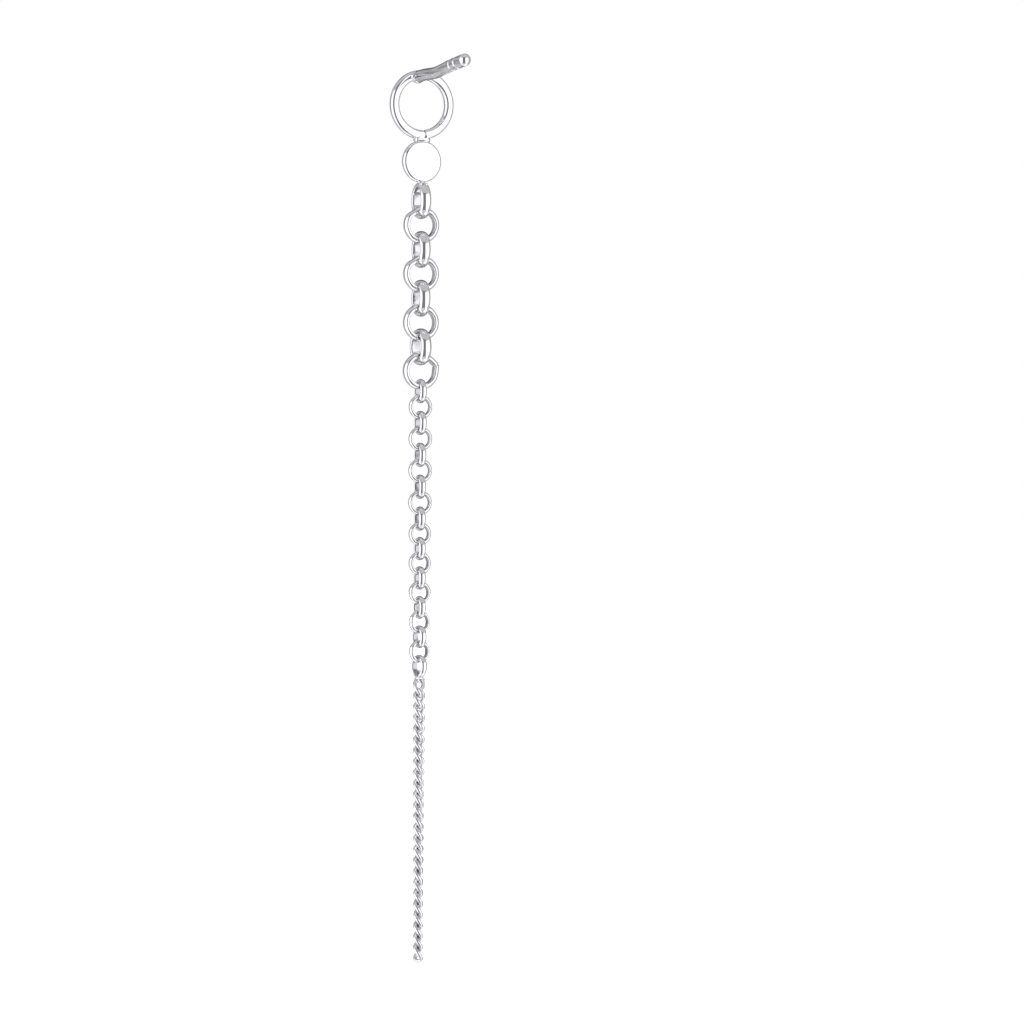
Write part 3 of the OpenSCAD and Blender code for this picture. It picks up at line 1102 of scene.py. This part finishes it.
@dataclass
class CurbTree:
    """The Geometry Nodes tree of a run of twisted curb links, one below the other.

    Each link starts from a plain loop, of which only the angle round it is used.
    """

    steps: int = 64
    sides: int = 14
    loop_r: float = 1.0

    inputs: tuple[tuple[str, str], ...] = (
        ("Half Width", "Float"), ("Half Length", "Float"), ("Wire Radius", "Float"), ("Twist", "Float"),
        ("Width Power", "Float"), ("Half Depth", "Float"), ("Count", "Int"), ("Step", "Vector"),
        ("Turn", "Float"), ("Turn Step", "Float"), ("Top", "Vector"), ("Material", "Material"))

    sums: tuple[tuple, ...] = (
        # the wire's middle line: a squarish loop, twisted about the chain's axis
        ("way", "ARCTAN2", "y", "x"),
        ("cosine", "COSINE", "way"),
        ("sine", "SINE", "way"),
        ("side", "SIGN", "cosine"),
        ("size", "ABSOLUTE", "cosine"),
        ("squared", "POWER", "size", "Width Power"),
        ("signed", "MULTIPLY", "squared", "side"),
        ("out", "MULTIPLY", "signed", "Half Width"),
        ("angle", "MULTIPLY", "sine", "Twist"),
        ("angle_cosine", "COSINE", "angle"),
        ("angle_sine", "SINE", "angle"),
        ("new_x", "MULTIPLY", "out", "angle_cosine"),
        ("deep", "MULTIPLY", "out", "angle_sine"),
        ("new_y", "MULTIPLY", "deep", -1.0),
        ("new_z", "MULTIPLY", "sine", "Half Length"),
        # the turn of each link
        ("turn", "MULTIPLY_ADD", "index", "Turn Step", "Turn"),
    )

    def build(self) -> bpy.types.NodeTree:
        """Makes the tree."""
        tree, given = new_tree("curb_links", self.inputs)
        path = add_node(tree, "GeometryNodeCurvePrimitiveCircle", {
            "Resolution": self.steps, "Radius": self.loop_r})
        place = add_node(tree, "GeometryNodeInputPosition")
        parts = add_node(tree, "ShaderNodeSeparateXYZ", {0: place.outputs[0]})
        index = add_node(tree, "GeometryNodeInputIndex")
        known = {**given, "x": parts.outputs["X"], "y": parts.outputs["Y"], "index": index.outputs[0]}
        found = work_out(tree, known, self.sums)
        point = add_node(tree, "ShaderNodeCombineXYZ", {
            "X": found["new_x"], "Y": found["new_y"], "Z": found["new_z"]})
        loop = add_node(tree, "GeometryNodeSetPosition", {
            "Geometry": path.outputs["Curve"], "Position": point.outputs[0]})
        wire = add_node(tree, "GeometryNodeCurvePrimitiveCircle", {
            "Resolution": self.sides, "Radius": given["Wire Radius"]})
        link = add_node(tree, "GeometryNodeCurveToMesh", {
            "Curve": loop.outputs[0], "Profile Curve": wire.outputs["Curve"]})
        # a curb's faces are filed a little flat, so no wire stands out past the chain's half depth
        rolled = add_node(tree, "ShaderNodeSeparateXYZ", {0: place.outputs[0]})
        limit = add_node(tree, "ShaderNodeClamp", {
            "Value": rolled.outputs["Y"], "Max": given["Half Depth"],
            "Min": work_out(tree, given, (("low", "MULTIPLY", "Half Depth", -1.0),))["low"]})
        pressed = add_node(tree, "ShaderNodeCombineXYZ", {
            "X": rolled.outputs["X"], "Y": limit.outputs[0], "Z": rolled.outputs["Z"]})
        flat = add_node(tree, "GeometryNodeSetPosition", {
            "Geometry": link.outputs["Mesh"], "Position": pressed.outputs[0]})
        line = add_node(tree, "GeometryNodeMeshLine", {
            "Count": given["Count"], "Start Location": given["Top"], "Offset": given["Step"]},
            mode="OFFSET")
        turned = add_node(tree, "ShaderNodeCombineXYZ", {"Z": found["turn"]})
        links = add_node(tree, "GeometryNodeInstanceOnPoints", {
            "Points": line.outputs[0], "Instance": flat.outputs[0], "Rotation": turned.outputs[0]})
        real = add_node(tree, "GeometryNodeRealizeInstances", {"Geometry": links.outputs[0]})
        dressed = add_node(tree, "GeometryNodeSetMaterial", {
            "Geometry": real.outputs[0], "Material": given["Material"]})
        add_node(tree, "NodeGroupOutput", {0: dressed.outputs[0]})
        return tree


@dataclass
class CurbChain:
    """The fine curb chain and the wider joining link between it and the last small link.

    Its wire is as thick as the real one's, so its links rest in each other. The solid's are thinner
    and keep clear of each other. lift is how much higher than the solid's the first twisted link hangs,
    and half_depth is where the filed faces cut the curb links; the joining link isn't filed.
    Known fault: joining_turn is a right angle less than the solid's 27 degrees, so the joining link
    cuts into the last small link's wire.
    """

    finish: bpy.types.Material
    layout: Layout
    wire: float = 0.35
    width: float = 1.14
    pitch: float = 0.863
    count: int = 25
    twist: float = 70.0
    power: float = 2.4
    half_depth: float = 0.4
    first_turn: float = 30.0
    turn_step: float = 1.6
    lift: float = 0.3
    joining_width: float = 1.14
    joining_length: float = 1.6
    joining_wire: float = 0.24
    joining_half_depth: float = 10.0
    joining_twist: float = 30.0
    joining_turn: float = -63.0
    solid_pitch: float = 0.856
    solid_wire: float = 0.2
    solid_play: float = 0.2

    def grow_links(self, name: str, tree: bpy.types.NodeTree, sizes: dict[str, Any]) -> bpy.types.Object:
        """Grows a run of links with the sizes that both runs share.

        Args:
            name: the piece's name.
            tree: the curb tree.
            sizes: the inputs that differ between the runs.

        Returns:
            The run as a plain mesh.
        """
        return grow(name, tree, {
            "Width Power": 2 / self.power, "Step": (0.0, 0.0, -self.pitch * MM),
            "Turn Step": math.radians(self.turn_step), "Material": self.finish, **sizes})

    def build(self) -> list[bpy.types.Object]:
        """Grows the joining link and the curb links."""
        tree = CurbTree().build()
        x, y = self.layout.chain_x * MM, self.layout.chain_y * MM
        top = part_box("curb_chain")[1].z / MM
        joining_z = top - self.joining_length / 2
        solid_half_l = (self.solid_pitch + self.solid_wire + self.solid_play) / 2
        first_z = (joining_z - (self.joining_length - self.solid_wire) / 2 - solid_half_l
                   + self.solid_wire + self.solid_play)
        joining = self.grow_links("joining_link", tree, {
            "Half Width": (self.joining_width - self.joining_wire) / 2 * MM,
            "Half Length": (self.joining_length - self.joining_wire) / 2 * MM,
            "Wire Radius": self.joining_wire / 2 * MM, "Twist": math.radians(self.joining_twist),
            "Half Depth": self.joining_half_depth * MM, "Count": 1,
            "Turn": math.radians(self.joining_turn), "Top": (x, y, joining_z * MM)})
        links = self.grow_links("curb_links", tree, {
            "Half Width": (self.width - self.wire) / 2 * MM,
            "Half Length": (self.pitch + self.wire) / 2 * MM,
            "Wire Radius": self.wire / 2 * MM, "Twist": math.radians(self.twist),
            "Half Depth": self.half_depth * MM, "Count": self.count,
            "Turn": math.radians(self.first_turn), "Top": (x, y, (first_z + self.lift) * MM)})
        return [joining, links]


@dataclass(frozen=True)
class TentPanel:
    """One part of the light tent with a level of its own.

    Heights and half the width are angles in degrees. A panel is in front of the object (ahead is 1),
    behind it (-1) or goes all round (0).
    """

    name: str
    level: float
    low: float = -95.0
    high: float = 95.0
    half_width: float = 0.0
    ahead: int = 0
    soft: float = 3.0

    def share(self, tree: bpy.types.NodeTree, height: Any, aside: Any, ahead: Any) -> Any:
        """Gives how much a direction belongs to the panel.

        Args:
            tree: the world's tree.
            height: the direction's height over the horizon in radians, as an output.
            aside: the size of its part across the camera's view.
            ahead: its part towards the camera.

        Returns:
            The output with the share, 0 to 1.
        """
        low, high, soft = (math.radians(v) for v in (self.low, self.high, self.soft))
        edges = [(height, low - soft, low + soft), (height, high + soft, high - soft)]
        if self.half_width:
            half = math.radians(self.half_width)
            edges.append((aside, math.sin(half + soft), math.sin(half - soft)))
        if self.ahead:
            edges.append((ahead, 0.0, self.ahead * soft))
        found: Any = 1.0
        for value, none, full in edges:
            part = add_node(tree, "ShaderNodeMapRange", {
                "Value": value, "From Min": none, "From Max": full}, interpolation_type="SMOOTHSTEP")
            found = add_node(tree, "ShaderNodeMath", {0: part.outputs["Result"], 1: found},
                             operation="MULTIPLY").outputs[0]
        return found


@dataclass
class Studio:
    """The camera, the floor and the light: a white tent with the object in its mouth.

    The tent's wall goes round the camera's side, with an opening for the camera, and behind the object
    it is dark. Angles go round from the camera, to its right positive, in degrees. Levels are linear,
    and 1 is white. Other sizes are in millimetres.
    """

    azimuth: float = -26.0
    distance: float = 500.0
    field: float = 80.0
    sensor: float = 36.0
    aim_right: float = 7.42
    aim_z: float = -33.98
    roll: float = 0.26
    clip: tuple[float, float] = (10.0, 20000.0)
    floor_z: float = -83.0
    floor_half: float = 3000.0
    floor_colour: str = "#F4F4F4"
    lamp_energy: float = 5.0
    lamp_angle: float = 60.0
    # rows of angle, level at the horizon and above it, and level below it
    tent: tuple[tuple[float, float, float], ...] = (
        (-180, 0.36, 0.5), (-150, 0.48, 0.58), (-128, 0.44, 0.55), (-116, 0.22, 0.4), (-106, 0.22, 0.4),
        (-101, 1.3, 1.3), (84, 1.3, 1.3), (90, 0.4, 0.52), (150, 0.4, 0.5), (180, 0.34, 0.45))
    low_from: float = -6.0
    low_full: float = -12.0
    panels: tuple[TentPanel, ...] = (
        TentPanel("ceiling", 0.55, low=35.0),
        TentPanel("floor", 1.3, high=-50.0),
        TentPanel("opening for the camera", 0.2, low=-64.0, high=45.0, half_width=23.0, ahead=1),
        TentPanel("floor before the camera", 0.66, high=-64.0, half_width=25.0, ahead=1),
        TentPanel("dark above the back wall", 0.15, low=4.0, high=45.0, half_width=24.0, ahead=-1),
        TentPanel("dark below the back wall", 0.3, low=-45.0, high=-4.0, half_width=14.0, ahead=-1))
    tint: str = "#FDFDFF"

    def camera_direction(self) -> tuple[Vector, Vector]:
        """Gives the unit vectors to the camera's right and from the object back to the camera."""
        a = math.radians(self.azimuth)
        return Vector((math.cos(a), math.sin(a), 0)), Vector((math.sin(a), -math.cos(a), 0))

    def add_camera(self) -> None:
        """Puts the camera where the photograph was taken from."""
        right, back = self.camera_direction()
        aim = right * self.aim_right + Vector((0, 0, self.aim_z))
        data = bpy.data.cameras.new("camera")
        data.sensor_width = self.sensor
        data.lens = self.sensor * self.distance / self.field
        data.clip_start, data.clip_end = (v * MM for v in self.clip)
        camera = bpy.data.objects.new("camera", data)
        bpy.context.scene.collection.objects.link(camera)
        facing = Matrix((right, Vector((0, 0, 1)), back)).transposed().to_4x4()
        camera.matrix_world = (Matrix.Translation((aim + back * self.distance) * MM) @ facing
                               @ Matrix.Rotation(math.radians(self.roll), 4, "Z"))
        bpy.context.scene.camera = camera

    def add_floor(self) -> None:
        """Lays a plain white floor, lit from above by a lamp that the metal doesn't mirror."""
        mesh = bpy.data.meshes.new("floor")
        half = self.floor_half
        corners = [(-half, -half), (half, -half), (half, half), (-half, half)]
        mesh.from_pydata([Vector((x, y, self.floor_z)) * MM for x, y in corners], [], [(0, 1, 2, 3)])
        floor = new_object("floor", mesh)
        material, _, shader = new_shader("Matt white paper")
        shader.inputs["Metallic"].default_value = 0.0
        shader.inputs["Base Color"].default_value = linear(self.floor_colour)
        shader.inputs["Roughness"].default_value = 1.0
        mesh.materials.append(material)
        floor.visible_glossy = False
        lamp = bpy.data.lights.new("overhead", "SUN")
        lamp.energy = self.lamp_energy
        lamp.angle = math.radians(self.lamp_angle)
        above = bpy.data.objects.new("overhead", lamp)
        above.visible_glossy = False
        bpy.context.scene.collection.objects.link(above)

    def add_tent(self) -> None:
        """Makes the surroundings: what the polished metal mirrors from each direction."""
        world = bpy.data.worlds.new("studio tent")
        world.use_nodes = True
        bpy.context.scene.world = world
        tree = world.node_tree
        tree.nodes.clear()
        right, back = self.camera_direction()
        look = add_node(tree, "ShaderNodeTexCoord").outputs["Generated"]
        parts = add_node(tree, "ShaderNodeSeparateXYZ", {0: look})
        found = work_out(tree, {name: parts.outputs[name] for name in "XYZ"}, (
            ("bearing", "ARCTAN2", "Y", "X"),
            ("from_camera", "SUBTRACT", "bearing", math.atan2(back.y, back.x)),
            ("wrapped", "WRAP", "from_camera", math.pi, -math.pi),
            ("share", "MULTIPLY_ADD", "wrapped", 0.5 / math.pi, 0.5),
            ("level", "MAXIMUM", "Z", -1.0),
            ("level_kept", "MINIMUM", "level", 1.0),
            ("height", "ARCSINE", "level_kept"),
            ("aside_x", "MULTIPLY", "X", right.x),
            ("aside", "MULTIPLY_ADD", "Y", right.y, "aside_x"),
            ("aside_size", "ABSOLUTE", "aside"),
            ("ahead_x", "MULTIPLY", "X", back.x),
            ("ahead", "MULTIPLY_ADD", "Y", back.y, "ahead_x")))
        walls = []
        for column in (1, 2):
            ring = add_node(tree, "ShaderNodeValToRGB", {"Fac": found["share"]})
            stops = ring.color_ramp.elements
            for number, row in enumerate(self.tent):
                stop = stops[number] if number < 2 else stops.new(row[0] / 360 + 0.5)
                stop.position = row[0] / 360 + 0.5
                stop.color = (row[column], row[column], row[column], 1)
            walls.append(ring.outputs["Color"])
        low = add_node(tree, "ShaderNodeMapRange", {
            "Value": found["height"], "From Min": math.radians(self.low_from),
            "From Max": math.radians(self.low_full)}, interpolation_type="SMOOTHSTEP")
        colour = add_node(tree, "ShaderNodeMix", {
            "Factor": low.outputs["Result"], 6: walls[0], 7: walls[1]}, data_type="RGBA").outputs[2]
        for panel in self.panels:
            share = panel.share(tree, found["height"], found["aside_size"], found["ahead"])
            colour = add_node(tree, "ShaderNodeMix", {
                "Factor": share, 6: colour, 7: (panel.level, panel.level, panel.level, 1)},
                data_type="RGBA").outputs[2]
        tinted = add_node(tree, "ShaderNodeMix", {
            "Factor": 1.0, 6: colour, 7: linear(self.tint)}, data_type="RGBA", blend_type="MULTIPLY")
        mirrored = add_node(tree, "ShaderNodeBackground", {"Color": tinted.outputs[2]})
        plain = add_node(tree, "ShaderNodeBackground", {"Color": (1, 1, 1, 1)})
        ray = add_node(tree, "ShaderNodeLightPath")
        seen = add_node(tree, "ShaderNodeMixShader", {
            0: ray.outputs["Is Camera Ray"], 1: mirrored.outputs[0], 2: plain.outputs[0]})
        add_node(tree, "ShaderNodeOutputWorld", {"Surface": seen.outputs[0]})

    def build(self) -> None:
        """Makes the camera, floor and surroundings, with colours shown as they are."""
        self.add_camera()
        self.add_floor()
        self.add_tent()
        bpy.context.scene.view_settings.view_transform = "Standard"


def hand_over(piece: bpy.types.Object, *nodes: str) -> None:
    """Gives a finished piece its body and the nodes that it stands for.

    Args:
        piece: the piece, in place.
        nodes: the solids that it replaces.
    """
    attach(piece, BODY)
    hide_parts(*nodes)
    log.info("%s: %d faces, stands for %s", piece.name, len(piece.data.polygons), ", ".join(nodes))


def main() -> None:
    """Builds the studio, the soldered top, the belcher links and the curb chain, in that order."""
    logging.basicConfig(level=logging.INFO, format="%(name)s: %(message)s")
    Studio().build()
    layout = Layout()
    buffed = BuffedSilver().material()
    solder = SolderSilver().material()
    # the dark grey of the ring's seam, also the painted shade in the solder's crevices
    oxide_and_shade = SeamOxideAndShade().material()
    top = [EarPost(DrawnSilver().material(), buffed).build(), FlatRing(buffed, oxide_and_shade, layout).build(),
           PlainDisc(buffed, layout).build(), *SolderJoints(solder, oxide_and_shade, layout).build()]
    for piece in top:
        hand_over(piece, "soldered_top")
    # painted shade: greyer materials for the links' flat insides
    large_inside_shade = LargeInsideShadeSilver().material()
    small_inside_shade = SmallInsideShadeSilver().material()
    for node, link in BelcherChain(buffed, large_inside_shade, small_inside_shade, layout).build().items():
        hand_over(link, node)
    for run in CurbChain(TumbledSilver().material(), layout).build():
        hand_over(run, "curb_chain")


if __name__ == "__main__":
    main()
